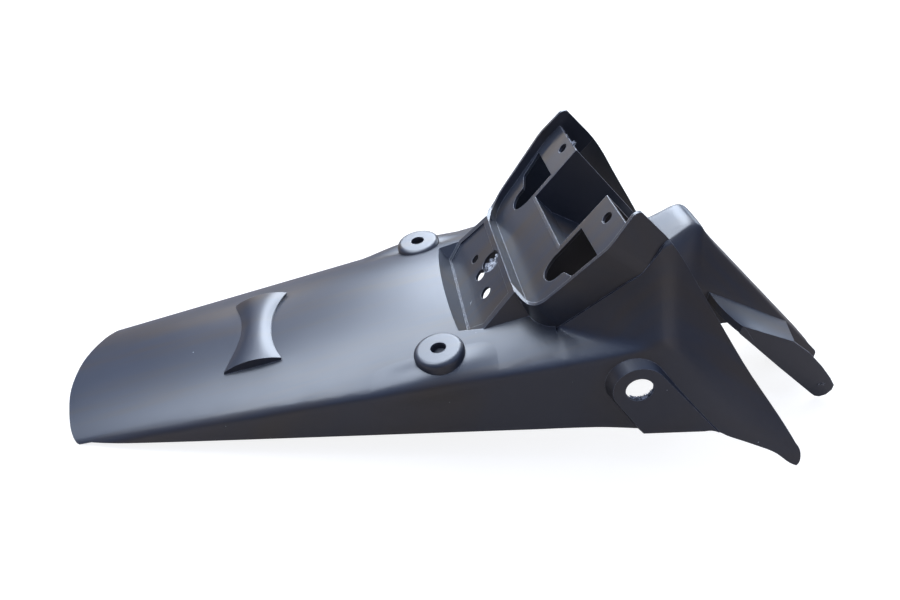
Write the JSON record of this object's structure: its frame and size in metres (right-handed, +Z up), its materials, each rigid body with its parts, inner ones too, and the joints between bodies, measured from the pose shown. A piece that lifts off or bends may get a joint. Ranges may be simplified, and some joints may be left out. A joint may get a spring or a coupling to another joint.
{
  "type": "motorcycle rear fender",
  "caption": "Moulded rear fender with a long crowned blade, folded flanks, ear pads for signals, an inclined lamp plate, seat pods and a forked front tongue.",
  "frame": {"origin": "middle of the part's length and width, at the height of its lowest point", "axes": "+X to the front of the motorcycle, +Y to its left side, +Z up; the tail of the blade is at -X"},
  "size_m": [0.6316, 0.2614, 0.2018],
  "materials": {
    "black_plastic": "satin moulded black plastic"
  },
  "bodies": {
    "root": {"rear_fender": "black_plastic"}
  },
  "joints": []
}
